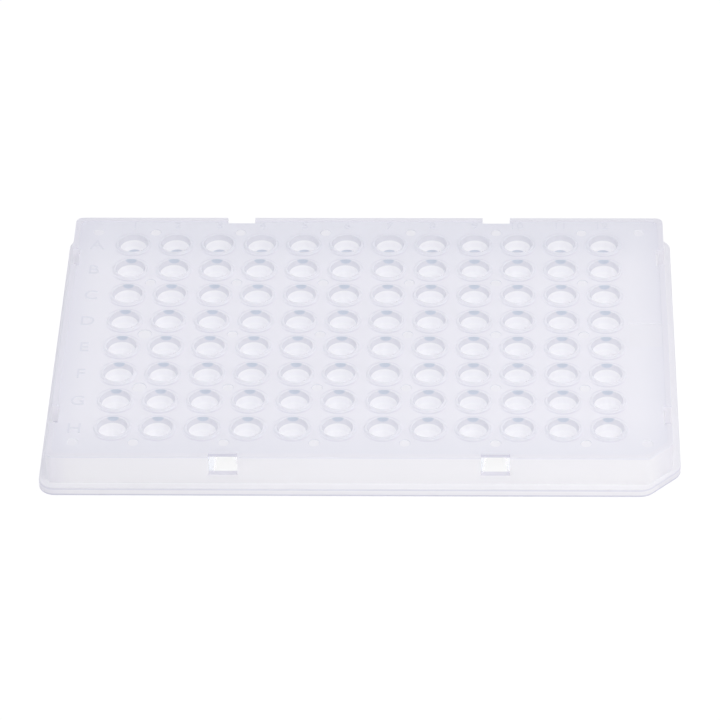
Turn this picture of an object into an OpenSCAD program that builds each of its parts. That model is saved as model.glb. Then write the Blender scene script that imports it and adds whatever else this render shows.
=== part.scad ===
// Low-profile 96-well plate, moulded in one piece.
// Origin at the middle of the footprint, level with the tube tips. +X runs along the twelve
// columns, +Y towards the first row, +Z up.

/* [Footprint] */
// Length of the base flange along X
base_length = 127.76; // [126:0.01:129]
// Width of the base flange along Y
base_width = 85.48; // [84:0.01:87]
// Height of the base flange
flange_height = 1.9; // [1.5:0.1:2.5]
// Width of the ledge between the flange's edge and the skirt's face
ledge_width = 1.7; // [1.4:0.05:2]
// Thickness of the ledge over the flange's hollow underside
ledge_thickness = 1.1; // [0.8:0.05:1.3]
// Radius of the flange's corners
flange_corner_r = 3.3; // [2:0.1:4]
// Length taken off each side of the flange at the keyed corner
flange_key_cut = 6.8; // [5:0.1:8]

/* [Skirt and deck] */
// Height of the deck's top face above the flange's underside
deck_height = 8.25; // [7:0.05:10]
// Thickness of the deck
deck_thickness = 0.95; // [0.8:0.05:1.3]
// Thickness of the skirt and of the flange's upright wall
wall = 1.15; // [0.9:0.05:1.4]
// Height of the lip that runs round the deck
lip_height = 0.3; // [0.1:0.05:0.4]
// Radius of the skirt's corners
skirt_corner_r = 1.5; // [1:0.1:2.5]
// Length taken off each side of the skirt at the keyed corner
skirt_key_cut = 4.7; // [3:0.1:6]

/* [Grip notches] */
// Width of each notch
notch_width = 5.75; // [4:0.05:7]
// Depth of each notch below the lip's top
notch_drop = 4.4; // [3:0.1:5.5]
// Reach of each notch inwards from the skirt's face
notch_reach = 1.65; // [1.3:0.05:2]
// Distance of the notches from the plate's middle lines
notch_offset = 27; // [18:9:36]

/* [Wells] */
// Number of columns
columns = 12; // [4:1:12]
// Number of rows
rows = 8; // [2:1:8]
// Distance between neighbouring wells
pitch = 9; // [9:0.05:9.1]
// Height of each rim above the deck
rim_height = 0.45; // [0.35:0.05:0.7]
// Rim diameter at its top
rim_top_d = 7.1; // [7:0.05:7.3]
// Rim diameter where it meets the deck
rim_base_d = 7.5; // [7.3:0.05:7.8]
// Width of the bevel on the rim's inner edge
rim_edge = 0.15; // [0.05:0.01:0.2]
// Mouth diameter, below the bevel
mouth_d = 6.16; // [6:0.02:6.3]
// Depth of the tapered lead-in
lead_in_depth = 1.05; // [0.8:0.05:1.4]
// Bore diameter at the bottom of the lead-in
bore_top_d = 5.5; // [5.3:0.02:5.7]
// Depth at which the near-straight bore turns into the cone
cone_depth = 5.2; // [4:0.1:6]
// Bore diameter where the cone starts
cone_top_d = 5.24; // [5.1:0.02:5.3]
// Inside radius of the round tip
tip_r = 1.3; // [1:0.05:1.6]
// Depth of the well below the rim plane
well_depth = 15.1; // [14:0.1:16]
// Wall thickness of the tubes
tube_wall = 0.4; // [0.3:0.02:0.5]
// Diameter of the thick collar under the deck
collar_d = 6.9; // [6.5:0.1:7.4]
// Depth of the collar's lower edge below the rim plane
collar_depth = 2.6; // [2:0.1:3.5]
// Height of the bevel under the collar
collar_bevel = 0.15; // [0.05:0.05:0.3]

/* [Deck marks] */
// Diameter of the ejector marks
mark_d = 2.3; // [1.5:0.1:2.6]
// Diameter of the two wide ejector marks
wide_mark_d = 3; // [2.6:0.1:3.2]
// Depth of the marks
mark_depth = 0.12; // [0.05:0.01:0.2]
// Distance of the corner marks from the middle, along X
corner_mark_x = 57.1; // [56:0.1:58]
// Length of the label recess along X, from the lip inwards
label_length = 6.7; // [5:0.1:6.8]
// Width of the label recess along Y
label_width = 8.1; // [6:0.1:12]
// Depth of the label recess
label_depth = 0.15; // [0.05:0.01:0.25]

/* [Hidden] */
$fn = 64;
// Overlap that keeps cuts clear of the faces they pass through
e = 0.2;
// Steps along each quarter of a tube's tip
tip_steps = 4;

plate_height = well_depth + tube_wall;
deck_top = plate_height - rim_height;
deck_bottom = deck_top - deck_thickness;
lip_top = deck_top + lip_height;
flange_bottom = deck_top - deck_height;
flange_top = flange_bottom + flange_height;
skirt_length = base_length - 2 * ledge_width;
skirt_width = base_width - 2 * ledge_width;

// A wall set in by a distance loses this share of it from the keyed corner's cut
key_inset = 2 - sqrt(2);

// The tip's centre, and the slope of the cone that meets it smoothly
tip_centre = well_depth - tip_r;
cone_drop = tip_centre - cone_depth;
cone_angle = acos(tip_r / norm([cone_top_d / 2, cone_drop])) - atan2(cone_drop, cone_top_d / 2);

// The wells' places, row by row
well_places = [
    for (row = [0:rows - 1], column = [0:columns - 1])
    [(column - (columns - 1) / 2) * pitch, ((rows - 1) / 2 - row) * pitch]
];

// The marks stand where four wells meet, and in the four corners of the deck
mark_x = [for (i = [-2.5:1:2.5]) 2 * i * pitch];
mark_y = [for (i = [-2:1:2]) 2 * i * pitch];
wide_marks = [[mark_x[0], mark_y[2]], [mark_x[0], mark_y[1]]];
small_marks = [for (x = mark_x, y = mark_y) if (!is_wide([x, y])) [x, y]];
corner_marks = [for (sx = [-1, 1], sy = [-1, 1]) [sx * corner_mark_x, sy * mark_y[4]]];

// Whether a place is that of a wide mark
function is_wide(place) = len([for (wide = wide_marks) if (wide == place) wide]) > 0;

// Profile of the tube below its lead-in, moved outwards by a wall thickness
function tube_profile(grow) = concat(
    [[cone_top_d / 2 + grow / cos(cone_angle), -cone_depth]],
    [for (i = [0:tip_steps])
        let (a = cone_angle + (90 - cone_angle) * i / tip_steps)
        [(tip_r + grow) * cos(a), -tip_centre - (tip_r + grow) * sin(a)]]
);

// The same points in the opposite order
function reversed(points) = [for (i = [len(points) - 1:-1:0]) points[i]];

// Four-sided outline with round corners and one corner cut off at 45 degrees
module keyed_outline(length, width, corner_r, key_cut) {
    x = length / 2 - corner_r;
    y = width / 2 - corner_r;
    cut = key_cut - key_inset * corner_r;
    corners = [[-x, -y], [x - cut, -y], [x, -y + cut], [x, y], [-x, y]];
    polygon(corners);
    for (i = [0:4]) {
        from = corners[i];
        to = corners[(i + 1) % 5];
        side = to - from;
        out = [side[1], -side[0]] / norm(side) * corner_r;
        polygon([from, from + out, to + out, to]);
        translate(from)
            circle(r = corner_r);
    }
}

// The flange's outline, set in by a distance
module flange_outline(inset) {
    keyed_outline(
        base_length - 2 * inset, base_width - 2 * inset,
        flange_corner_r - inset, flange_key_cut - key_inset * inset
    );
}

// The skirt's outline, set in by a distance; its corners keep their radius
module skirt_outline(inset) {
    keyed_outline(
        skirt_length - 2 * inset, skirt_width - 2 * inset,
        skirt_corner_r, skirt_key_cut - key_inset * inset
    );
}

// Flange, skirt, deck and lip as one tray, open below
module tray() {
    difference() {
        union() {
            translate([0, 0, flange_bottom])
                linear_extrude(height = flange_height)
                flange_outline(0);
            translate([0, 0, flange_bottom])
                linear_extrude(height = deck_height + lip_height)
                skirt_outline(0);
        }
        translate([0, 0, flange_bottom - e])
            linear_extrude(height = flange_height - ledge_thickness + e)
            flange_outline(wall);
        translate([0, 0, flange_bottom - e])
            linear_extrude(height = deck_height - deck_thickness + e)
            skirt_outline(wall);
        translate([0, 0, deck_top])
            linear_extrude(height = lip_height + e)
            skirt_outline(wall);
    }
}

// One well as a thin wall of revolution, hung from the rim plane: rim, collar and tube outside,
// then back up the bore to the mouth
module well() {
    outer_rim = [
        [mouth_d / 2 + rim_edge, 0],
        [rim_top_d / 2, 0],
        [rim_base_d / 2, -rim_height],
        [rim_base_d / 2, -rim_height - deck_thickness / 2]
    ];
    collar = [
        [collar_d / 2, -rim_height - deck_thickness / 2],
        [collar_d / 2, -collar_depth],
        [bore_top_d / 2 + tube_wall, -collar_depth - collar_bevel]
    ];
    mouth = [[bore_top_d / 2, -lead_in_depth], [mouth_d / 2, -rim_edge]];
    rotate_extrude()
        polygon(concat(outer_rim, collar, tube_profile(tube_wall), reversed(tube_profile(0)), mouth));
}

// Hole in the deck, hidden inside the thickness of a well's rim and collar
module well_hole() {
    translate([0, 0, deck_bottom - e])
        cylinder(d = (mouth_d + collar_d) / 2, h = deck_thickness + 2 * e);
}

// One notch through the skirt and lip and into the deck's edge, on the +X side
module notch(face) {
    translate([face - notch_reach, -notch_width / 2, lip_top - notch_drop])
        cube([notch_reach + e, notch_width, notch_drop + e]);
}

// Shallow round mark with sloping sides, cut into the deck
module mark(place, diameter) {
    translate([place[0], place[1], deck_top - mark_depth])
        cylinder(d1 = diameter - 2 * mark_depth, d2 = diameter + 2 * e, h = mark_depth + e);
}

// Shallow recess for a label, against the lip
module label_recess() {
    translate([skirt_length / 2 - wall - label_length, -label_width / 2, deck_top - label_depth])
        cube([label_length, label_width, label_depth + e]);
}

// Everything that is cut into the tray's outside
module tray_cuts() {
    for (angle = [0, 180], y = [-notch_offset, notch_offset])
        rotate([0, 0, angle])
        translate([0, y, 0])
        notch(skirt_length / 2);
    for (angle = [90, 270], y = [-notch_offset, notch_offset])
        rotate([0, 0, angle])
        translate([0, y, 0])
        notch(skirt_width / 2);
    for (place = concat(small_marks, corner_marks))
        mark(place, mark_d);
    for (place = wide_marks)
        mark(place, wide_mark_d);
    label_recess();
}

// The whole plate
module well_plate() {
    color([0.88, 0.88, 0.93, 0.8])
    union() {
        difference() {
            tray();
            tray_cuts();
            for (place = well_places)
                translate([place[0], place[1], 0])
                well_hole();
        }
        for (place = well_places)
            translate([place[0], place[1], plate_height])
            well();
    }
}

well_plate();
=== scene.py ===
"""Looks of a low-profile well plate: one translucent moulding, its studio and its camera."""

import logging
import math
from collections.abc import Sequence
from dataclasses import dataclass
from enum import Enum

import bmesh
import bpy
from mathutils import Matrix, Vector

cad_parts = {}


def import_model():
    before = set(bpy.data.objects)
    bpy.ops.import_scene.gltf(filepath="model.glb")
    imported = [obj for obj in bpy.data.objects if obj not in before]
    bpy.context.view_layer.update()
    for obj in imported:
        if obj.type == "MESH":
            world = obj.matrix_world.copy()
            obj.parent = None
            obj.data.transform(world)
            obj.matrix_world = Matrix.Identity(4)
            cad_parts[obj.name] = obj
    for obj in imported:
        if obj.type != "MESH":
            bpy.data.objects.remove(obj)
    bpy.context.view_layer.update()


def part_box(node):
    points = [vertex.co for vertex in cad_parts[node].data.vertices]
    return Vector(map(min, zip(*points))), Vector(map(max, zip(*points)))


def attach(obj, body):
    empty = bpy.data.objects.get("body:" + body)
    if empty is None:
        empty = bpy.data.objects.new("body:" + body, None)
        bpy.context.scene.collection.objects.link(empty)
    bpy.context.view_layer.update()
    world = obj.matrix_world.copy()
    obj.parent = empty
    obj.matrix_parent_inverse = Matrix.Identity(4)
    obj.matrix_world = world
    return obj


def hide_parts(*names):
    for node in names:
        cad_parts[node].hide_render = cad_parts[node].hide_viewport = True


LOG = logging.getLogger("well_plate")

# A millimetre and the distance at which points are one, in metres.
MM = 0.001
WELD = 1e-6

# Steps clear of a face and of a small unevenness, in millimetres.
HAIR = 0.01
SLACK = 0.05

Socket = bpy.types.NodeSocket
Tree = bpy.types.NodeTree
Tint = tuple[float, float, float]
WHITE: Tint = (1.0, 1.0, 1.0)


class Join(Enum):
    """How one solid is combined with another."""

    ADD = "UNION"
    CUT = "DIFFERENCE"


# ---------------------------------------------------------------- modelling helpers


def deselect_all() -> None:
    """Leaves no object selected."""
    bpy.ops.object.select_all(action="DESELECT")


def make_active(piece: bpy.types.Object) -> None:
    """Selects one object alone and makes it active.

    Args:
        piece: The object to work on.
    """
    deselect_all()
    piece.select_set(True)
    bpy.context.view_layer.objects.active = piece


def name_active(name: str) -> bpy.types.Object:
    """Names the active object and its mesh.

    Args:
        name: The new name.

    Returns:
        The active object.
    """
    piece = bpy.context.active_object
    piece.name = name
    piece.data.name = name
    return piece


def apply_place(piece: bpy.types.Object) -> None:
    """Moves an object's place, turn and scale into its mesh."""
    make_active(piece)
    bpy.ops.object.transform_apply(location=True, rotation=True, scale=True)


def box(name: str, low: Vector, high: Vector) -> bpy.types.Object:
    """Adds a block between two corners.

    Args:
        name: Name of the block.
        low: Lowest corner in metres.
        high: Highest corner in metres.

    Returns:
        The block.
    """
    deselect_all()
    bpy.ops.mesh.primitive_cube_add(size=1, location=(low + high) / 2)
    piece = name_active(name)
    piece.scale = high - low
    apply_place(piece)
    return piece


def combine(piece: bpy.types.Object, tool: bpy.types.Object, join: Join) -> None:
    """Joins a tool to a piece or cuts it away, and deletes the tool.

    Args:
        piece: The object that is kept.
        tool: The object that is used up.
        join: Whether the tool is added or cut away.
    """
    make_active(piece)
    step = piece.modifiers.new("combine", "BOOLEAN")
    step.operation = join.value
    step.solver = "MANIFOLD"
    step.object = tool
    bpy.ops.object.modifier_apply(modifier=step.name)
    bpy.data.objects.remove(tool, do_unlink=True)


def repeat(piece: bpy.types.Object, count: int, offset: tuple[float, float, float]) -> None:
    """Copies a piece in a straight row, within its own mesh.

    Args:
        piece: The object to repeat.
        count: How many there are in the end.
        offset: Step from one to the next in metres.
    """
    make_active(piece)
    row = piece.modifiers.new("row", "ARRAY")
    row.count = count
    row.use_relative_offset = False
    row.use_constant_offset = True
    row.constant_offset_displace = offset
    bpy.ops.object.modifier_apply(modifier=row.name)


def lathe(name: str, profile: list[tuple[float, float]], segments: int) -> bpy.types.Object:
    """Raises a closed solid of revolution ring by ring, from a small disc to a point on the axis.

    Args:
        name: Name of the solid.
        profile: Radius and height of each ring in metres, in order along the surface.
        segments: Number of sides.

    Returns:
        The solid.
    """
    radius, height = profile[0]
    deselect_all()
    bpy.ops.mesh.primitive_circle_add(
        vertices=segments, radius=radius, fill_type="TRIFAN", location=(0, 0, height)
    )
    piece = name_active(name)
    apply_place(piece)
    bpy.ops.object.mode_set(mode="EDIT")
    bpy.ops.mesh.select_mode(type="EDGE")
    bpy.ops.mesh.select_all(action="DESELECT")
    shape = bmesh.from_edit_mesh(piece.data)
    for edge in shape.edges:
        edge.select = len(edge.link_faces) == 1
    bmesh.update_edit_mesh(piece.data)
    for next_radius, next_height in profile[1:]:
        rise = (0, 0, next_height - height)
        bpy.ops.mesh.extrude_region_move(TRANSFORM_OT_translate={"value": rise})
        scale = next_radius / radius
        bpy.ops.transform.resize(value=(scale, scale, 1), center_override=(0, 0, next_height))
        radius, height = next_radius, next_height
    bpy.ops.mesh.merge(type="CENTER")
    bpy.ops.mesh.select_all(action="SELECT")
    bpy.ops.mesh.normals_make_consistent(inside=False)
    bpy.ops.object.mode_set(mode="OBJECT")
    return piece


def arc(
    centre: tuple[float, float], radius: float, first: float, last: float, steps: int
) -> list[tuple[float, float]]:
    """Points along an arc in the plane of a profile.

    Args:
        centre: Distance from the axis and height of the arc's centre.
        radius: Radius of the arc.
        first: Angle of the first point in degrees, 0 pointing outwards and 90 up.
        last: Angle of the last point in degrees.
        steps: Number of steps between them.

    Returns:
        The arc's points, first and last included.
    """
    points = []
    for step in range(steps + 1):
        angle = math.radians(first + (last - first) * step / steps)
        points.append((centre[0] + radius * math.cos(angle), centre[1] + radius * math.sin(angle)))
    return points


# ---------------------------------------------------------------- the plate


@dataclass(frozen=True)
class Outline:
    """Four-sided outline with round corners and one corner cut off at 45 degrees, in millimetres."""

    length: float
    width: float
    corner_r: float
    key_cut: float
    corner_steps: int = 8
    key_steps: int = 5
    rim_steps: int = 3

    def inset(self, distance: float, corner_r: float) -> "Outline":
        """Gives the same outline set in by a distance, with another corner radius."""
        cut = self.key_cut - (2 - math.sqrt(2)) * distance
        return Outline(self.length - 2 * distance, self.width - 2 * distance, corner_r, cut)

    def prism(self, name: str, low: float, high: float, rounding: float = 0.0) -> bpy.types.Object:
        """Builds an upright prism on this outline.

        Args:
            name: Name of the prism.
            low: Height of its underside in millimetres.
            high: Height of its top in millimetres.
            rounding: Radius along its upper and lower edges in millimetres.

        Returns:
            The prism.
        """
        half_x, half_y = self.length / 2 * MM, self.width / 2 * MM
        piece = box(name, Vector((-half_x, -half_y, low * MM)), Vector((half_x, half_y, high * MM)))
        bpy.ops.object.mode_set(mode="EDIT")
        bpy.ops.mesh.select_mode(type="EDGE")
        key = (half_x, -half_y)
        self._bevel_uprights(piece, key, SLACK, self.key_cut, 1)
        key_rounding = self.corner_r * math.tan(math.pi / 8)
        self._bevel_uprights(piece, key, self.key_cut + SLACK, key_rounding, self.key_steps)
        for corner in ((-half_x, -half_y), (-half_x, half_y), (half_x, half_y)):
            self._bevel_uprights(piece, corner, SLACK, self.corner_r, self.corner_steps)
        if rounding:
            self._round_rims(piece, rounding)
        bpy.ops.object.mode_set(mode="OBJECT")
        return piece

    @staticmethod
    def _bevel_uprights(
        piece: bpy.types.Object, near: tuple[float, float], reach: float, offset: float, steps: int
    ) -> None:
        """Bevels the upright edges near a corner.

        Args:
            piece: The prism, in edit mode.
            near: X and Y of the corner in metres.
            reach: How far from the corner an edge may stand in millimetres.
            offset: Size of the bevel in millimetres.
            steps: Number of segments across it.
        """
        shape = bmesh.from_edit_mesh(piece.data)
        for edge in shape.edges:
            a, b = (vertex.co for vertex in edge.verts)
            upright = (a.xy - b.xy).length < WELD
            edge.select_set(upright and (a.xy - Vector(near)).length < reach * MM)
        bmesh.update_edit_mesh(piece.data)
        bpy.ops.mesh.bevel(offset=offset * MM, segments=steps)
        bpy.ops.mesh.select_all(action="DESELECT")

    def _round_rims(self, piece: bpy.types.Object, rounding: float) -> None:
        """Rounds the edges of the two end faces.

        Args:
            piece: The prism, in edit mode.
            rounding: Radius in millimetres.
        """
        shape = bmesh.from_edit_mesh(piece.data)
        for edge in shape.edges:
            level = [abs(face.normal.z) > face.normal.xy.length for face in edge.link_faces]
            edge.select_set(any(level) and not all(level))
        bmesh.update_edit_mesh(piece.data)
        bpy.ops.mesh.bevel(offset=rounding * MM, segments=self.rim_steps)
        bpy.ops.mesh.select_all(action="DESELECT")


@dataclass(frozen=True)
class Levels:
    """Heights in millimetres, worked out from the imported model's own height."""

    rims: float
    rim_height: float = 0.45
    deck_thickness: float = 0.95
    deck_height: float = 8.25
    flange_height: float = 1.9
    ledge_thickness: float = 1.1
    lip_height: float = 0.3

    @property
    def deck(self) -> float:
        """Top of the deck."""
        return self.rims - self.rim_height

    @property
    def deck_underside(self) -> float:
        """Underside of the deck."""
        return self.deck - self.deck_thickness

    @property
    def lip(self) -> float:
        """Top of the lip."""
        return self.deck + self.lip_height

    @property
    def flange_underside(self) -> float:
        """Underside of the flange."""
        return self.deck - self.deck_height

    @property
    def flange(self) -> float:
        """Top of the flange, which is the ledge."""
        return self.flange_underside + self.flange_height


@dataclass
class Tray:
    """Flange, skirt, deck and lip, with the grip notches, the ejector marks and the label recess."""

    levels: Levels
    footprint: Outline
    ledge: float = 1.7
    wall: float = 1.15
    skirt_corner_r: float = 1.5
    skirt_key_cut: float = 4.7
    edge_r: float = 0.2
    notch_width: float = 5.75
    notch_drop: float = 4.4
    notch_reach: float = 1.65
    notch_offset: float = 27.0
    mark_d: float = 2.3
    wide_mark_d: float = 3.0
    mark_depth: float = 0.12
    mark_pitch: float = 18.0
    mark_columns: int = 6
    mark_rows: int = 5
    mark_segments: int = 32
    corner_mark_x: float = 57.1
    label_length: float = 6.7
    label_width: float = 8.1
    label_depth: float = 0.15
    overcut: float = 0.5

    def skirt(self) -> Outline:
        """Outline of the skirt's outer face."""
        whole = self.footprint.inset(self.ledge, self.skirt_corner_r)
        return Outline(whole.length, whole.width, self.skirt_corner_r, self.skirt_key_cut)

    def build(self) -> bpy.types.Object:
        """Builds the tray without its wells.

        Returns:
            The tray.
        """
        at, clear = self.levels, self.overcut
        skirt = self.skirt()
        inside = skirt.inset(self.wall, self.skirt_corner_r)
        tray = self.footprint.prism("tray", at.flange_underside, at.flange, self.edge_r)
        body = skirt.prism("skirt", at.flange_underside + clear, at.lip, self.edge_r / 2)
        combine(tray, body, Join.ADD)
        flange_inside = self.footprint.inset(self.wall, self.footprint.corner_r - self.wall)
        step = at.flange - at.ledge_thickness
        combine(tray, flange_inside.prism("step", at.flange_underside - clear, step), Join.CUT)
        combine(tray, inside.prism("hollow", at.flange_underside - clear, at.deck_underside), Join.CUT)
        combine(tray, inside.prism("pocket", at.deck, at.lip + clear), Join.CUT)
        self.cut_notches(tray)
        self.cut_marks(tray)
        self.cut_label(tray)
        return tray

    def cut_notches(self, tray: bpy.types.Object) -> None:
        """Cuts two notches into each side.

        Args:
            tray: The tray.
        """
        skirt, lip = self.skirt(), self.levels.lip
        heights = (lip - self.notch_drop, lip + self.overcut)
        for along in (-self.notch_offset, self.notch_offset):
            width = (along - self.notch_width / 2, along + self.notch_width / 2)
            for side in (-1, 1):
                for axis, size in ((1, skirt.width), (0, skirt.length)):
                    face = side * size / 2
                    spans = [width, width, heights]
                    spans[axis] = sorted((face - side * self.notch_reach, face + side * self.overcut))
                    low, high = (Vector(corner) * MM for corner in zip(*spans))
                    combine(tray, box("notch", low, high), Join.CUT)

    def mark(self, diameter: float, x: float, y: float) -> bpy.types.Object:
        """A shallow tapered plug that leaves a round mark in the deck.

        Args:
            diameter: Width of the mark in millimetres.
            x: Place along X in millimetres.
            y: Place along Y in millimetres.

        Returns:
            The plug.
        """
        depth = 2 * self.mark_depth * MM
        low_r, high_r = (diameter / 2 - self.mark_depth) * MM, (diameter / 2 + self.mark_depth) * MM
        deselect_all()
        bpy.ops.mesh.primitive_cone_add(
            vertices=self.mark_segments, radius1=low_r, radius2=high_r, depth=depth,
            location=(x * MM, y * MM, self.levels.deck * MM),
        )
        plug = name_active("mark")
        apply_place(plug)
        return plug

    def cut_marks(self, tray: bpy.types.Object) -> None:
        """Cuts the ejector marks: a field of them where wells meet, four in the corners, two wide ones.

        Args:
            tray: The tray.
        """
        far_x = -(self.mark_columns - 1) / 2 * self.mark_pitch
        far_y = (self.mark_rows - 1) / 2 * self.mark_pitch
        marks = self.mark(self.mark_d, far_x, far_y)
        repeat(marks, self.mark_columns, (self.mark_pitch * MM, 0, 0))
        repeat(marks, self.mark_rows, (0, -self.mark_pitch * MM, 0))
        combine(tray, marks, Join.CUT)
        corners = self.mark(self.mark_d, -self.corner_mark_x, far_y)
        repeat(corners, 2, (2 * self.corner_mark_x * MM, 0, 0))
        repeat(corners, 2, (0, -2 * far_y * MM, 0))
        combine(tray, corners, Join.CUT)
        wide = self.mark(self.wide_mark_d, far_x, 0)
        repeat(wide, 2, (0, -self.mark_pitch * MM, 0))
        combine(tray, wide, Join.CUT)

    def cut_label(self, tray: bpy.types.Object) -> None:
        """Cuts the shallow recess for a label, against the lip on the right.

        Args:
            tray: The tray.
        """
        right, deck = self.skirt().length / 2 - self.wall, self.levels.deck
        low = (right - self.label_length, -self.label_width / 2, deck - self.label_depth)
        high = (right, self.label_width / 2, deck + self.overcut)
        combine(tray, box("label", Vector(low) * MM, Vector(high) * MM), Join.CUT)


@dataclass
class Wells:
    """Grid of thin-walled tubes with rims and collars.

    Sizes are in millimetres, depths are below the plane of the rims, and angles are in degrees.
    """

    levels: Levels
    columns: int = 12
    rows: int = 8
    pitch: float = 9.0
    segments: int = 36
    rim_top_r: float = 3.55
    rim_base_r: float = 3.75
    rim_round: float = 0.15
    rim_start: float = 30.0
    rim_steps: tuple[int, int] = (2, 3)
    flare: tuple[float, float] = (0.06, 0.14)
    mouth_r: float = 3.08
    bore_top_r: float = 2.75
    lead_in: float = 1.05
    milky_depth: float = 6.0
    cone_top_r: float = 2.62
    cone_top: float = 5.2
    tip_r: float = 1.3
    tip_end: float = -80.0
    tip_steps: int = 4
    depth: float = 15.1
    wall: float = 0.4
    collar_r: float = 3.45
    collar_depth: float = 2.6
    collar_bevel: float = 0.15
    gate_r: float = 0.3

    def cone_angle(self) -> float:
        """Works out the cone's slope, where it runs smoothly into the round tip.

        Returns:
            The angle between its wall and its axis in degrees.
        """
        drop = self.depth - self.tip_r - self.cone_top
        span = math.hypot(self.cone_top_r, drop)
        return math.degrees(math.acos(self.tip_r / span) - math.atan2(drop, self.cone_top_r))

    def profile(self) -> list[tuple[float, float]]:
        """Radius and height of each ring of one well, in metres from the rim plane.

        Returns:
            Rings from the gate disc under the tip, up the outside and down the bore.
        """
        slope = self.cone_angle()
        centre = (0.0, -(self.depth - self.tip_r))
        outer_tip = self.tip_r + self.wall
        steepest = -math.degrees(math.acos(self.gate_r / outer_tip))
        outside = arc(centre, outer_tip, steepest, -slope, self.tip_steps)
        outside.append((self.cone_top_r + self.wall / math.cos(math.radians(slope)), -self.cone_top))
        outside.append((self.bore_top_r + self.wall, -self.collar_depth - self.collar_bevel))
        middle = -self.levels.rim_height - self.levels.deck_thickness / 2
        collar = [(self.collar_r, -self.collar_depth), (self.collar_r, middle), (self.rim_base_r, middle)]
        flare = [
            (self.rim_base_r, -self.levels.rim_height),
            (self.rim_top_r + self.flare[0], -self.levels.rim_height + self.flare[1]),
            (self.rim_top_r, -self.rim_round),
        ]
        rounding, (rim_steps, mouth_steps) = self.rim_round, self.rim_steps
        rim = arc((self.rim_top_r - rounding, -rounding), rounding, self.rim_start, 90, rim_steps)
        mouth = arc((self.mouth_r + rounding, -rounding), rounding, 90, 180, mouth_steps)
        share = (self.collar_depth - self.lead_in) / (self.cone_top - self.lead_in)
        collar_bore_r = self.bore_top_r + share * (self.cone_top_r - self.bore_top_r)
        bore = [
            (self.bore_top_r, -self.lead_in),
            (collar_bore_r, -self.collar_depth),
            (self.cone_top_r, -self.cone_top),
        ]
        inner_tip = arc(centre, self.tip_r, -slope, self.tip_end, self.tip_steps)
        rings = outside + collar + flare + rim + mouth + bore + inner_tip
        return [(radius * MM, height * MM) for radius, height in rings]

    def place(self, piece: bpy.types.Object) -> None:
        """Moves a piece made on the axis to the first well and repeats it over the grid.

        Args:
            piece: The piece.
        """
        piece.location.x += -(self.columns - 1) / 2 * self.pitch * MM
        piece.location.y += (self.rows - 1) / 2 * self.pitch * MM
        apply_place(piece)
        repeat(piece, self.columns, (self.pitch * MM, 0, 0))
        repeat(piece, self.rows, (0, -self.pitch * MM, 0))

    def add_to(self, tray: bpy.types.Object) -> None:
        """Opens the deck and joins the tubes to it.

        Args:
            tray: The tray.
        """
        at = self.levels
        deselect_all()
        middle = (at.deck + at.deck_underside) / 2
        bpy.ops.mesh.primitive_cylinder_add(
            vertices=self.segments, radius=(self.mouth_r + self.collar_r) / 2 * MM,
            depth=2 * at.deck_thickness * MM, location=(0, 0, middle * MM),
        )
        holes = name_active("holes")
        self.place(holes)
        combine(tray, holes, Join.CUT)
        tubes = lathe("tubes", self.profile(), self.segments)
        tubes.location.z = at.rims * MM
        self.place(tubes)
        combine(tray, tubes, Join.ADD)

    def thin_faces(self, plate: bpy.types.Object) -> list[bpy.types.MeshPolygon]:
        """Finds the faces of the thin tube walls: the bores low down, and all outside.

        Args:
            plate: The finished plate.

        Returns:
            The faces.
        """
        pitch = self.pitch * MM
        reach = (self.collar_r + SLACK) * MM
        top = (self.levels.rims - self.lead_in - HAIR) * MM
        milky_above = (self.levels.rims - self.milky_depth) * MM
        points = plate.data.vertices
        found = []
        for face in plate.data.polygons:
            if face.center.z > top:
                continue
            column = math.floor(face.center.x / pitch) + 0.5
            row = math.floor(face.center.y / pitch) + 0.5
            if abs(column) > self.columns / 2 or abs(row) > self.rows / 2:
                continue
            axis = Vector((column * pitch, row * pitch))
            inward = face.normal.xy.dot(face.center.xy - axis) < 0
            if inward and face.center.z > milky_above:
                continue
            if all((points[index].co.xy - axis).length < reach for index in face.vertices):
                found.append(face)
        return found


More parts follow.
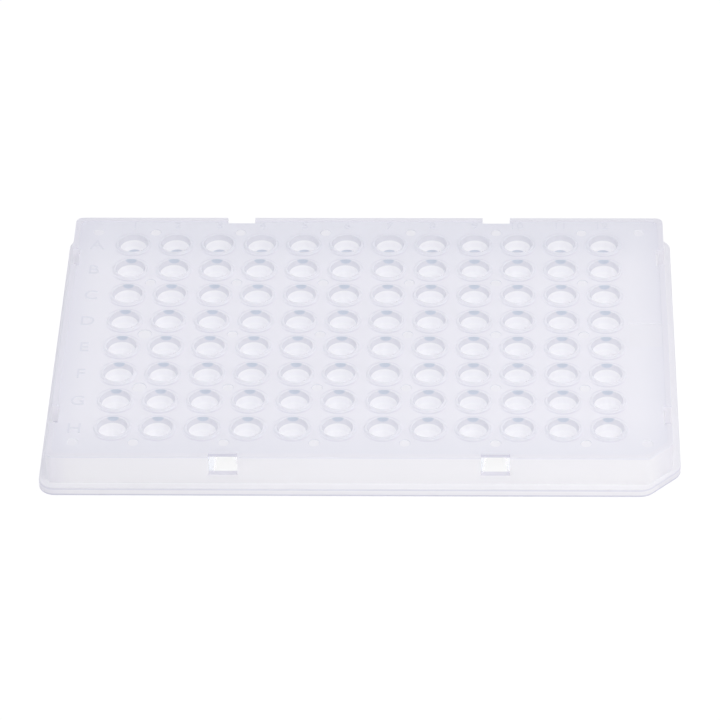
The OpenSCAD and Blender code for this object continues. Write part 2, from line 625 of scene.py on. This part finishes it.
@dataclass
class GridLabels:
    """Raised row letters and column numbers on the deck, in millimetres."""

    levels: Levels
    wells: Wells
    letter_height: float = 3.0
    letter_x: float = -57.1
    number_height: float = 2.2
    number_y: float = 38.5
    relief: float = 0.1
    root: float = 0.2
    capital_share: float = 0.73
    curve_steps: int = 3

    def glyphs(self, text: str, height: float, x: float, y: float) -> bpy.types.Object:
        """Raised characters centred on a place.

        Args:
            text: What they say.
            height: Height of the capitals in millimetres.
            x: Middle along X in millimetres.
            y: Middle along Y in millimetres.

        Returns:
            The characters as a closed mesh.
        """
        deselect_all()
        bpy.ops.object.text_add()
        piece = bpy.context.active_object
        piece.data.body = text
        piece.data.extrude = (self.relief + self.root) / 2 * MM
        piece.data.size = height / self.capital_share * MM
        piece.data.resolution_u = self.curve_steps
        bpy.ops.object.convert(target="MESH")
        piece = name_active("glyphs")
        corners = [Vector(corner) for corner in piece.bound_box]
        middle = sum(corners, Vector()) / len(corners)
        tall = max(c.y for c in corners) - min(c.y for c in corners)
        scale = height * MM / tall
        piece.scale = (scale, scale, 1)
        piece.location = (
            x * MM - middle.x * scale,
            y * MM - middle.y * scale,
            (self.levels.deck + (self.relief - self.root) / 2) * MM - middle.z,
        )
        apply_place(piece)
        bpy.ops.object.mode_set(mode="EDIT")
        bpy.ops.mesh.select_all(action="SELECT")
        bpy.ops.mesh.remove_doubles(threshold=WELD)
        bpy.ops.mesh.normals_make_consistent(inside=False)
        bpy.ops.object.mode_set(mode="OBJECT")
        return piece

    def add_to(self, tray: bpy.types.Object) -> None:
        """Joins a letter for each row and a number for each column to the deck.

        Args:
            tray: The tray.
        """
        wells = self.wells
        for row in range(wells.rows):
            y = ((wells.rows - 1) / 2 - row) * wells.pitch
            letter = chr(ord("A") + row)
            combine(tray, self.glyphs(letter, self.letter_height, self.letter_x, y), Join.ADD)
        for column in range(wells.columns):
            x = (column - (wells.columns - 1) / 2) * wells.pitch
            number = str(column + 1)
            combine(tray, self.glyphs(number, self.number_height, x, self.number_y), Join.ADD)


# ---------------------------------------------------------------- shader helpers


def feed(tree: Tree, node: bpy.types.Node, values: Sequence[Socket | Sequence[float] | float]) -> None:
    """Fills a node's inputs in order: links the sockets and writes the numbers in.

    Args:
        tree: Node tree that the node is in.
        node: The node.
        values: What its first inputs get.
    """
    for target, value in zip(node.inputs, values):
        if isinstance(value, Socket):
            tree.links.new(value, target)
        else:
            target.default_value = value


def math_node(tree: Tree, operation: str, *values: Socket | float) -> Socket:
    """Adds a Math node.

    Args:
        tree: Node tree it goes into.
        operation: Name of the operation.
        values: Its operands.

    Returns:
        The result's socket.
    """
    node = tree.nodes.new("ShaderNodeMath")
    node.operation = operation
    feed(tree, node, values)
    return node.outputs["Value"]


def vector_node(tree: Tree, operation: str, *values: Socket | Sequence[float]) -> Socket:
    """Adds a Vector Math node.

    Args:
        tree: Node tree it goes into.
        operation: Name of the operation.
        values: Its operands.

    Returns:
        The result's socket.
    """
    node = tree.nodes.new("ShaderNodeVectorMath")
    node.operation = operation
    feed(tree, node, values)
    return node.outputs["Value" if operation == "LENGTH" else "Vector"]


def soft_mask(tree: Tree, value: Socket, off: float, on: float) -> Socket:
    """Turns a value into a soft-edged mask.

    Args:
        tree: Node tree it goes into.
        value: The value.
        off: Where the mask is 0.
        on: Where the mask is 1.

    Returns:
        Socket of the mask.
    """
    soft = tree.nodes.new("ShaderNodeMapRange")
    soft.interpolation_type = "SMOOTHSTEP"
    feed(tree, soft, (value, off, on))
    return soft.outputs["Result"]


def mix_colours(tree: Tree, share: Socket, first: Socket | Tint, second: Socket | Tint) -> Socket:
    """Mixes two colours.

    Args:
        tree: Node tree it goes into.
        share: How much of the second colour there is.
        first: The first colour.
        second: The second colour.

    Returns:
        Socket of the mixed colour.
    """
    mix = tree.nodes.new("ShaderNodeMix")
    mix.data_type = "RGBA"
    tree.links.new(share, mix.inputs["Factor"])
    for name, colour in (("A", first), ("B", second)):
        if isinstance(colour, Socket):
            tree.links.new(colour, mix.inputs[name])
        else:
            mix.inputs[name].default_value = (*colour, 1)
    return mix.outputs["Result"]


def mix_shaders(tree: Tree, share: Socket | float, first: Socket, second: Socket) -> Socket:
    """Mixes two shaders.

    Args:
        tree: Node tree it goes into.
        share: How much of the second shader there is.
        first: The first shader.
        second: The second shader.

    Returns:
        Socket of the mixed shader.
    """
    mix = tree.nodes.new("ShaderNodeMixShader")
    feed(tree, mix, (share, first, second))
    return mix.outputs["Shader"]


def coordinates(tree: Tree, kind: str = "Object") -> Socket:
    """Adds the texture coordinates of one kind."""
    return tree.nodes.new("ShaderNodeTexCoord").outputs[kind]


def split(tree: Tree, vector: Socket) -> list[Socket]:
    """Takes a vector apart.

    Args:
        tree: Node tree it goes into.
        vector: The vector.

    Returns:
        Sockets of its X, Y and Z.
    """
    node = tree.nodes.new("ShaderNodeSeparateXYZ")
    feed(tree, node, [vector])
    return list(node.outputs)


def shader_group(name: str, inputs: dict[str, float], outputs: dict[str, str]) -> Tree:
    """Starts a node group whose inputs are all plain numbers.

    Args:
        name: Name of the group.
        inputs: Each input's name and starting value.
        outputs: Each output's name and socket type.

    Returns:
        The group, with its input and output nodes in it.
    """
    group = bpy.data.node_groups.new(name, "ShaderNodeTree")
    for label, value in inputs.items():
        socket = group.interface.new_socket(label, in_out="INPUT", socket_type="NodeSocketFloat")
        socket.default_value = value
    for label, kind in outputs.items():
        group.interface.new_socket(label, in_out="OUTPUT", socket_type=kind)
    group.nodes.new("NodeGroupInput")
    group.nodes.new("NodeGroupOutput")
    return group


# ---------------------------------------------------------------- finish


def moulded_grain() -> Tree:
    """Fine unevenness of a moulded face: a slow flow variation and a fine spark texture.

    Returns:
        The group, which gives a roughness and a height.
    """
    group = shader_group(
        "moulded_grain",
        {"Roughness": 0.3, "Spread": 0.05, "Flow Scale": 90.0, "Spark Scale": 2500.0},
        {"Roughness": "NodeSocketFloat", "Height": "NodeSocketFloat"},
    )
    given, out = group.nodes["Group Input"].outputs, group.nodes["Group Output"].inputs
    place = coordinates(group)
    noises = []
    for scale in ("Flow Scale", "Spark Scale"):
        noise = group.nodes.new("ShaderNodeTexNoise")
        group.links.new(place, noise.inputs["Vector"])
        group.links.new(given[scale], noise.inputs["Scale"])
        noises.append(noise.outputs["Fac"])
    flow, spark = noises
    mean = 0.5
    uneven = math_node(group, "SUBTRACT", flow, mean)
    uneven = math_node(group, "MULTIPLY_ADD", uneven, given["Spread"], given["Roughness"])
    group.links.new(uneven, out["Roughness"])
    group.links.new(spark, out["Height"])
    return group


@dataclass(frozen=True)
class Grain:
    """Settings of the moulded grain on one finish."""

    roughness: float = 0.32
    spread: float = 0.12
    depth: float = 0.04
    relief: float = 0.05

    def dress(self, tree: Tree, shader: bpy.types.Node) -> None:
        """Feeds the grain to a shader's roughness and normal.

        Args:
            tree: Node tree of the material.
            shader: Principled shader that gets the grain.
        """
        grain = tree.nodes.new("ShaderNodeGroup")
        grain.node_tree = bpy.data.node_groups.get("moulded_grain") or moulded_grain()
        grain.inputs["Roughness"].default_value = self.roughness
        grain.inputs["Spread"].default_value = self.spread
        bump = tree.nodes.new("ShaderNodeBump")
        bump.inputs["Strength"].default_value = self.depth
        bump.inputs["Distance"].default_value = self.relief * MM
        tree.links.new(grain.outputs["Roughness"], shader.inputs["Roughness"])
        tree.links.new(grain.outputs["Height"], bump.inputs["Height"])
        tree.links.new(bump.outputs["Normal"], shader.inputs["Normal"])


def well_cell(wells: Wells) -> Tree:
    """Place within one cell of the well grid, folded so that each well's axis is at zero.

    Args:
        wells: Sizes of the grid.

    Returns:
        The group, which gives the offset from the nearest axis and a mask of the grid.
    """
    group = shader_group(
        "well_cell", {"Spare Back Rows": 0.0}, {"Offset": "NodeSocketVector", "Inside": "NodeSocketFloat"}
    )
    given, out = group.nodes["Group Input"].outputs, group.nodes["Group Output"].inputs
    half = wells.pitch / 2 * MM
    place = coordinates(group)
    shifted = vector_node(group, "ADD", place, (half, half, 0))
    folded = vector_node(group, "WRAP", shifted, (half, half, 1), (-half, -half, -1))
    group.links.new(folded, out["Offset"])
    x, y = split(group, place)[:2]
    side, front = wells.columns * half, wells.rows * half
    back = math_node(group, "MULTIPLY_ADD", given["Spare Back Rows"], -2 * half, front)
    across = math_node(group, "LESS_THAN", math_node(group, "ABSOLUTE", x), side)
    ahead = math_node(group, "GREATER_THAN", y, -front)
    behind = math_node(group, "LESS_THAN", y, back)
    along = math_node(group, "MULTIPLY", ahead, behind)
    group.links.new(math_node(group, "MULTIPLY", across, along), out["Inside"])
    return group


@dataclass(frozen=True)
class Line:
    """A faint painted line of light or shade round the moulding or round each well, in millimetres."""

    at: float
    half_width: float
    tint: Tint


@dataclass(frozen=True)
class Patch:
    """A small soft-edged patch of painted shade at the back of a bore, in millimetres."""

    level: float
    size: tuple[float, float, float]
    tint: Tint


@dataclass
class Painter:
    """Works out masks in a material, and lays tints over its colour where they are on.

    Lengths of the object are sockets in metres, and those they are compared with are in millimetres.
    """

    tree: Tree
    colour: Socket | Tint

    def product(self, *masks: Socket) -> Socket:
        """Multiplies masks.

        Args:
            masks: The masks.

        Returns:
            Socket of a mask that is on where all of them are.
        """
        whole = masks[0]
        for mask in masks[1:]:
            whole = math_node(self.tree, "MULTIPLY", whole, mask)
        return whole

    def above(self, value: Socket, length: float) -> Socket:
        """Marks where a value is over a length."""
        return math_node(self.tree, "GREATER_THAN", value, length * MM)

    def below(self, value: Socket, length: float) -> Socket:
        """Marks where a value is under a length."""
        return math_node(self.tree, "LESS_THAN", value, length * MM)

    def away(self, value: Socket, length: float = 0.0) -> Socket:
        """Gives how far a value is from a length."""
        return math_node(self.tree, "ABSOLUTE", math_node(self.tree, "SUBTRACT", value, length * MM))

    def near(self, value: Socket, line: Line) -> Socket:
        """Marks where a value is close to a line's."""
        half = line.half_width * MM
        return soft_mask(self.tree, self.away(value, line.at), half, half / 2)

    def lay(self, tint: Tint, *masks: Socket) -> None:
        """Lays a tint over the colour so far, where all the masks are on."""
        self.colour = mix_colours(self.tree, self.product(*masks), self.colour, tint)


@dataclass(frozen=True)
class Spot:
    """Where a point of the moulding lies: sockets of its lengths in metres, and of masks."""

    x: Socket
    y: Socket
    height: Socket
    offset: Socket
    radius: Socket
    inside: Socket
    outside: Socket
    bore: Socket


@dataclass(frozen=True)
class MilkyFinish:
    """Polypropylene thick enough to scatter the light: the deck, rims, skirt and flange."""

    wells: Wells
    side_tint: Tint = (0.972, 0.967, 0.97)
    end_tint: Tint = (0.937, 0.93, 0.95)
    end_span: tuple[float, float] = (57.5, 60.4)
    # The plastic's lavender tone, painted darker and bluer on the deck than on the sides: painted shade on
    # the upward faces.
    deck_colour_and_shade: Tint = (0.912, 0.915, 0.95)
    # Painted light: the middle of the deck, among the wells, lighter than towards its edges.
    middle_light_tint: Tint = (0.958, 0.954, 0.98)
    middle_at: tuple[float, float] = (0.0, -3.0)
    middle_box: tuple[float, float] = (68.0, 39.0)
    middle_edge: float = 16.0
    # Painted shade: the raised row letters and column numbers darker than the deck.
    letter_shade_tint: Tint = (0.875, 0.88, 0.92)
    lip_tint: Tint = (0.928, 0.924, 0.953)
    mark_tint: Tint = (0.97, 0.968, 0.98)
    label_tint: Tint = (0.945, 0.943, 0.965)
    recess_reach: float = 0.2
    # Painted shade on the walls of the ejector marks.
    mark_wall_shade_tint: Tint = (0.8, 0.8, 0.85)
    mark_edge_reach: float = 0.09
    # Painted shade on the faces cut through the deck at the grip notches.
    cut_face_shade_tint: Tint = (0.78, 0.775, 0.84)
    cut_box: tuple[float, float] = (52.0, 40.0)
    # Painted shade: a dark ring on the deck round the base of each rim, in front of and behind the well.
    rim_foot_shade: Line = Line(4.0, 0.3, (0.88, 0.875, 0.92))
    rim_foot_span: tuple[float, float] = (1.5, 3.8)
    bore_tint: Tint = (0.985, 0.982, 0.99)
    # Painted shade: the upper part of each bore, down past the lead-in, darker.
    lead_in_shade_tint: Tint = (0.84, 0.84, 0.875)
    lead_in_overlap: float = 0.15
    # Painted highlights: two light lines round each bore, just below the lead-in and just below the collar.
    lead_in_foot: Line = Line(14.1, 0.25, WHITE)
    collar_foot_highlight: Line = Line(12.5, 0.3, WHITE)
    # Painted shade: a blue-grey spot high on the back wall of each bore in rows B to H.
    back_spot_shade: Patch = Patch(15.25, (1.3, 0.3, 0.7), (0.68, 0.73, 0.80))
    # Painted shade: a dark patch low on the back wall of each bore in row A.
    shade: Patch = Patch(11.55, (1.9, 1.6, 0.42), (0.68, 0.71, 0.78))
    patch_depth: float = 0.2
    patch_edge: tuple[float, float] = (1.2, 0.6)
    # Painted shade: a dark line along the bottom edge of the flange.
    flange_foot_shade: Line = Line(6.93, 0.42, (0.76, 0.755, 0.825))
    # Painted shade: a dark line just below the top edge of the flange.
    flange_brim_shade: Line = Line(8.42, 0.25, (0.845, 0.84, 0.89))
    # Painted light: a white line on the upward-facing ledge of the flange.
    ledge_light: Line = Line(8.72, 0.06, WHITE)
    # Painted shade: a dark line at the bottom edge of each grip notch.
    notch_sill_shade: Line = Line(10.95, 0.08, (0.84, 0.835, 0.885))
    sill_spots: tuple[float, float] = (27.0, 3.0)
    through: float = 0.5
    ior: float = 1.49
    grain: Grain = Grain(roughness=0.34)

    def cell(self, tree: Tree, spare_rows: float) -> tuple[Socket, Socket]:
        """Adds the well grid's folded place.

        Args:
            tree: Node tree of the material.
            spare_rows: Rows left out at the back of the grid.

        Returns:
            Sockets of the offset from the nearest well and of the grid's mask.
        """
        node = tree.nodes.new("ShaderNodeGroup")
        node.node_tree = bpy.data.node_groups.get("well_cell") or well_cell(self.wells)
        node.inputs["Spare Back Rows"].default_value = spare_rows
        return node.outputs["Offset"], node.outputs["Inside"]

    def spot(self, paint: Painter) -> Spot:
        """Adds the nodes that tell where a point of the moulding lies.

        Args:
            paint: Painter of the material.

        Returns:
            The point's lengths and masks.
        """
        tree = paint.tree
        x, y, height = split(tree, coordinates(tree))
        offset, inside = self.cell(tree, 0)
        radius = vector_node(tree, "LENGTH", vector_node(tree, "MULTIPLY", offset, (1, 1, 0)))
        outside = math_node(tree, "SUBTRACT", 1.0, inside)
        bore = paint.product(paint.below(radius, self.wells.mouth_r + 2 * HAIR), inside)
        return Spot(x, y, height, offset, radius, inside, outside, bore)

    def paint_deck(self, paint: Painter, spot: Spot) -> None:
        """Lays the tints of the deck, its marks, label recess, letters and lip, and of the cut edges, with
        painted shade and painted light among them.

        Args:
            paint: Painter of the material.
            spot: Where the point lies.
        """
        tree, height, levels = paint.tree, spot.height, self.wells.levels
        far_x, far_y = paint.away(spot.x), paint.away(spot.y)
        within = paint.product(*(paint.below(far, half) for far, half in zip((far_x, far_y), self.cut_box)))
        off_wells = math_node(tree, "SUBTRACT", 1.0, spot.bore)
        deck = paint.above(height, levels.deck - HAIR)
        recess = paint.above(height, levels.deck - self.recess_reach)
        paint.lay(self.end_tint, soft_mask(tree, far_x, *(at * MM for at in self.end_span)))
        paint.lay(self.mark_tint, recess, off_wells)
        paint.lay(self.label_tint, recess, paint.above(far_x, self.cut_box[0]), off_wells)
        # Painted shade on the walls of the ejector marks.
        mark_edge = paint.above(height, levels.deck - self.mark_edge_reach)
        paint.lay(self.mark_wall_shade_tint, mark_edge, off_wells, within)
        # Painted shade: the deck and all above it darker and bluer than the skirt and flange.
        paint.lay(self.deck_colour_and_shade, deck)
        # Painted light: a lighter deck in a soft-edged box round the middle of the well grid.
        middle = []
        for value, at, half in zip((spot.x, spot.y), self.middle_at, self.middle_box):
            away = paint.away(value, at)
            middle.append(soft_mask(tree, away, half * MM, (half - self.middle_edge) * MM))
        paint.lay(self.middle_light_tint, deck, *middle)
        # Painted shade on the raised letters and numbers.
        paint.lay(self.letter_shade_tint, paint.above(height, levels.deck + SLACK), spot.outside)
        paint.lay(self.lip_tint, paint.above(height, levels.deck + levels.lip_height / 2), spot.outside)
        # Painted shade on the faces cut through the deck at the grip notches.
        cut_edge = paint.product(
            paint.above(height, levels.deck_underside + 2 * HAIR),
            paint.below(height, levels.deck - self.recess_reach),
        )
        paint.lay(self.cut_face_shade_tint, cut_edge, spot.outside, within)
        # Painted shade: a dark ring round the base of each rim.
        fold_y = split(tree, spot.offset)[1]
        across = soft_mask(tree, paint.away(fold_y), *(at * MM for at in self.rim_foot_span))
        paint.lay(self.rim_foot_shade.tint, paint.near(spot.radius, self.rim_foot_shade), spot.inside, deck, across)

    def patch(self, tree: Tree, offset: Socket, patch: Patch) -> Socket:
        """Marks a patch at the back of each bore.

        Args:
            tree: Node tree of the material.
            offset: Offset from the nearest well.
            patch: The patch.

        Returns:
            Socket of the mask.
        """
        centre = (0, (self.wells.bore_top_r + self.patch_depth) * MM, patch.level * MM)
        size = [length * MM for length in patch.size]
        from_centre = vector_node(tree, "SUBTRACT", offset, centre)
        reach = vector_node(tree, "LENGTH", vector_node(tree, "DIVIDE", from_centre, size))
        return soft_mask(tree, reach, *self.patch_edge)

    def paint_wells(self, paint: Painter, spot: Spot) -> None:
        """Lays the tints of the bores, with painted shade at their tops, painted highlight lines, and
        patches of painted shade at the back of each.

        Args:
            paint: Painter of the material.
            spot: Where the point lies.
        """
        tree, wells = paint.tree, self.wells
        offset_ahead, ahead = self.cell(tree, 1)
        back_row = math_node(tree, "SUBTRACT", spot.inside, ahead)
        paint.lay(self.bore_tint, spot.bore)
        # Painted highlight lines round each bore.
        for line in (self.lead_in_foot, self.collar_foot_highlight):
            paint.lay(line.tint, paint.near(spot.height, line), spot.bore)
        # Painted shade on the upper part of each bore.
        lead_in_foot = wells.levels.rims - wells.lead_in - self.lead_in_overlap
        paint.lay(self.lead_in_shade_tint, paint.above(spot.height, lead_in_foot), spot.bore)
        # Painted shade spots on the back walls of the bores.
        paint.lay(self.back_spot_shade.tint, self.patch(tree, offset_ahead, self.back_spot_shade), ahead)
        paint.lay(self.shade.tint, self.patch(tree, spot.offset, self.shade), back_row)

    def paint_sides(self, paint: Painter, spot: Spot) -> None:
        """Lays painted lines of shade and light round the skirt and flange, and painted shade lines at the
        notches' sills.

        Args:
            paint: Painter of the material.
            spot: Where the point lies.
        """
        # Painted shade lines along the flange's edges, and painted light on its ledge.
        for line in (self.flange_foot_shade, self.flange_brim_shade, self.ledge_light):
            paint.lay(line.tint, paint.near(spot.height, line), spot.outside)
        centre, half = self.sill_spots
        notches = [paint.below(paint.away(paint.away(value), centre), half) for value in (spot.x, spot.y)]
        at_notch = math_node(paint.tree, "MAXIMUM", *notches)
        # Painted shade along the bottom edge of each grip notch.
        paint.lay(self.notch_sill_shade.tint, paint.near(spot.height, self.notch_sill_shade), at_notch, spot.outside)

    def material(self) -> bpy.types.Material:
        """Builds the material.

        Returns:
            The material.
        """
        material = bpy.data.materials.new("milky_polypropylene")
        material.use_nodes = True
        tree = material.node_tree
        shader = tree.nodes["Principled BSDF"]
        shader.inputs["IOR"].default_value = self.ior
        self.grain.dress(tree, shader)
        paint = Painter(tree, self.side_tint)
        spot = self.spot(paint)
        self.paint_deck(paint, spot)
        self.paint_wells(paint, spot)
        self.paint_sides(paint, spot)
        glow = tree.nodes.new("ShaderNodeBsdfTranslucent")
        for target in (shader.inputs["Base Color"], glow.inputs["Color"]):
            tree.links.new(paint.colour, target)
        both = mix_shaders(tree, self.through, shader.outputs["BSDF"], glow.outputs["BSDF"])
        tree.links.new(both, tree.nodes["Material Output"].inputs["Surface"])
        return material


@dataclass(frozen=True)
class ThinWallFinish:
    """Polypropylene so thin that it is nearly clear: the tube walls, deeper in tone towards the tips."""

    tint: Tint = (0.995, 0.995, 1.0)
    tip_tint: Tint = (0.90, 0.91, 0.94)
    tip_below: float = 10.0
    tip_full: float = 6.0
    ior: float = 1.49
    grain: Grain = Grain(roughness=0.06, spread=0.04, depth=0.0)

    def material(self) -> bpy.types.Material:
        """Builds the material.

        Returns:
            The material.
        """
        material = bpy.data.materials.new("thin_polypropylene")
        material.use_nodes = True
        tree = material.node_tree
        shader = tree.nodes["Principled BSDF"]
        height = split(tree, coordinates(tree))[2]
        tip = soft_mask(tree, height, self.tip_below * MM, self.tip_full * MM)
        tree.links.new(mix_colours(tree, tip, self.tint, self.tip_tint), shader.inputs["Base Color"])
        shader.inputs["IOR"].default_value = self.ior
        shader.inputs["Transmission Weight"].default_value = 1
        self.grain.dress(tree, shader)
        return material


# ---------------------------------------------------------------- the whole plate


@dataclass
class WellPlate:
    """The whole moulding, in one mesh."""

    tray: Tray
    wells: Wells
    labels: GridLabels
    smooth_below: float = 32.0

    def build(self) -> bpy.types.Object:
        """Builds the moulding.

        Returns:
            The plate.
        """
        plate = self.tray.build()
        LOG.info("tray: %d faces", len(plate.data.polygons))
        for name, part in (("wells", self.wells), ("labels", self.labels)):
            part.add_to(plate)
            LOG.info("with %s: %d faces", name, len(plate.data.polygons))
        make_active(plate)
        name_active("plate")
        bpy.ops.object.shade_smooth_by_angle(angle=math.radians(self.smooth_below))
        return plate

    def dress(self, plate: bpy.types.Object) -> None:
        """Gives the moulding its two finishes, milky and thin.

        Args:
            plate: The plate.
        """
        plate.data.materials.clear()
        plate.data.materials.append(MilkyFinish(self.wells).material())
        plate.data.materials.append(ThinWallFinish().material())
        for face in self.wells.thin_faces(plate):
            face.material_index = 1
        LOG.info("dressed: %d triangles", sum(len(face.vertices) - 2 for face in plate.data.polygons))


# ---------------------------------------------------------------- studio


@dataclass(frozen=True)
class Studio:
    """Pale table, soft light from all round and the camera."""

    camera_place: tuple[float, float, float] = (27.57, -724.9, 555.1)
    heading: float = 2.252
    fall: float = 36.997
    tilt: float = -1.221
    lens: float = 220.65
    sensor: float = 36.0
    table_size: float = 6.0
    table_white: float = 0.97
    table_glow: float = 0.97
    table_dim: float = 0.05
    table_shadow: float = 0.09
    table_shadow_box: tuple[float, float] = (66.0, 33.0)
    table_shadow_edge: float = 12.0
    table_shade: float = 0.12
    overhead: Tint = (0.70, 0.706, 0.765)
    overhead_span: tuple[float, float] = (0.1, 0.9)
    all_round: Tint = (0.845, 0.85, 0.872)
    lamp_place: tuple[float, float, float] = (0.15, -0.2, 0.3)
    lamp_size: float = 0.22
    lamp_power: float = 0.34
    lamp_colour: Tint = (1.0, 0.97, 0.9)
    bounces: int = 48

    def add_camera(self) -> None:
        """Places the camera and makes it the scene's own."""
        data = bpy.data.cameras.new("camera")
        data.lens = self.lens
        data.sensor_width = self.sensor
        camera = bpy.data.objects.new("camera", data)
        bpy.context.scene.collection.objects.link(camera)
        heading, fall, tilt = (math.radians(angle) for angle in (self.heading, self.fall, self.tilt))
        level = Vector((math.cos(heading), math.sin(heading), 0))
        ahead = Vector((-math.sin(heading), math.cos(heading), 0))
        forward = ahead * math.cos(fall) - Vector((0, 0, math.sin(fall)))
        above = level.cross(forward)
        right = level * math.cos(tilt) + above * math.sin(tilt)
        up = above * math.cos(tilt) - level * math.sin(tilt)
        turn = Matrix((right, up, -forward)).transposed().to_4x4()
        camera.matrix_world = Matrix.Translation(Vector(self.camera_place) * MM) @ turn
        bpy.context.scene.camera = camera

    def table_shader(self, tree: Tree) -> Socket:
        """Shader of the table's top: plain paper to the light, and nearly white to the eye, with a painted
        shadow under the plate.

        Args:
            tree: Node tree of the material.

        Returns:
            Socket of the shader.
        """
        papers = []
        for white in (self.table_white, self.table_shade):
            paper = tree.nodes.new("ShaderNodeBsdfDiffuse")
            paper.inputs["Color"].default_value = (white, white, white, 1)
            papers.append(paper.outputs["BSDF"])
        plain, shade = papers
        path = tree.nodes.new("ShaderNodeLightPath")
        seen = path.outputs["Is Camera Ray"]
        # Painted shadow: the glow the camera sees is dimmed in a soft-edged box under the plate.
        under = seen
        for value, half in zip(split(tree, coordinates(tree)), self.table_shadow_box):
            away = math_node(tree, "ABSOLUTE", value)
            edge = soft_mask(tree, away, half * MM, (half - self.table_shadow_edge) * MM)
            under = math_node(tree, "MULTIPLY", under, edge)
        strength = math_node(tree, "MULTIPLY_ADD", seen, -self.table_dim, self.table_glow)
        strength = math_node(tree, "MULTIPLY_ADD", under, -self.table_shadow, strength)
        glow = tree.nodes.new("ShaderNodeEmission")
        tree.links.new(strength, glow.inputs["Strength"])
        bright = tree.nodes.new("ShaderNodeAddShader")
        feed(tree, bright, (shade, glow.outputs["Emission"]))
        bent = math_node(tree, "MAXIMUM", path.outputs["Is Glossy Ray"], path.outputs["Is Transmission Ray"])
        looked_at = math_node(tree, "MAXIMUM", seen, bent)
        return mix_shaders(tree, looked_at, plain, bright.outputs["Shader"])

    def table_material(self) -> bpy.types.Material:
        """Builds the table's material, which only shows from above.

        Returns:
            The material.
        """
        material = bpy.data.materials.new("table")
        material.use_nodes = True
        tree = material.node_tree
        tree.nodes.clear()
        from_below = tree.nodes.new("ShaderNodeNewGeometry").outputs["Backfacing"]
        clear = tree.nodes.new("ShaderNodeBsdfTransparent").outputs["BSDF"]
        output = tree.nodes.new("ShaderNodeOutputMaterial")
        one_sided = mix_shaders(tree, from_below, self.table_shader(tree), clear)
        tree.links.new(one_sided, output.inputs["Surface"])
        return material

    def add_floor(self) -> None:
        """Lays a wide pale table under the plate."""
        deselect_all()
        bpy.ops.mesh.primitive_plane_add(size=self.table_size, location=(0, 0, 0))
        floor = name_active("floor")
        apply_place(floor)
        floor.data.materials.append(self.table_material())

    def add_lamp(self) -> None:
        """Hangs a soft lamp in front of the plate, to the right."""
        data = bpy.data.lights.new("soft_lamp", "AREA")
        data.size = self.lamp_size
        data.energy = self.lamp_power
        data.color = self.lamp_colour
        lamp = bpy.data.objects.new("soft_lamp", data)
        bpy.context.scene.collection.objects.link(lamp)
        lamp.location = self.lamp_place
        lamp.rotation_euler = (-Vector(self.lamp_place)).to_track_quat("-Z", "Y").to_euler()

    def add_light(self) -> None:
        """Lights the plate from all round, less and cooler from overhead, against plain white."""
        world = bpy.data.worlds.new("studio")
        bpy.context.scene.world = world
        world.use_nodes = True
        tree = world.node_tree
        climb = soft_mask(tree, split(tree, coordinates(tree, "Generated"))[2], *self.overhead_span)
        colour = mix_colours(tree, climb, self.all_round, self.overhead)
        path = tree.nodes.new("ShaderNodeLightPath")
        colour = mix_colours(tree, path.outputs["Is Camera Ray"], colour, WHITE)
        tree.links.new(colour, tree.nodes["Background"].inputs["Color"])

    def set_bounces(self) -> None:
        """Lets the light pass through all the walls of the tubes, with sharp highlights kept."""
        cycles = bpy.context.scene.cycles
        cycles.max_bounces = self.bounces
        cycles.transmission_bounces = self.bounces
        cycles.glossy_bounces = self.bounces
        cycles.diffuse_bounces = self.bounces
        cycles.blur_glossy = 0


def main() -> None:
    """Builds the plate, dresses it and sets the studio up."""
    logging.basicConfig(level=logging.INFO, format="%(message)s")
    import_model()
    low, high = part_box("well_plate")
    levels = Levels(rims=high[2] / MM)
    footprint = Outline((high[0] - low[0]) / MM, (high[1] - low[1]) / MM, corner_r=3.3, key_cut=6.8)
    wells = Wells(levels)
    moulding = WellPlate(Tray(levels, footprint), wells, GridLabels(levels, wells))
    plate = moulding.build()
    moulding.dress(plate)
    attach(plate, "root")
    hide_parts("well_plate")
    studio = Studio()
    studio.add_floor()
    studio.add_light()
    studio.add_lamp()
    studio.add_camera()
    studio.set_bounces()
    bpy.context.scene.view_settings.view_transform = "Standard"


if __name__ == "__main__":
    main()
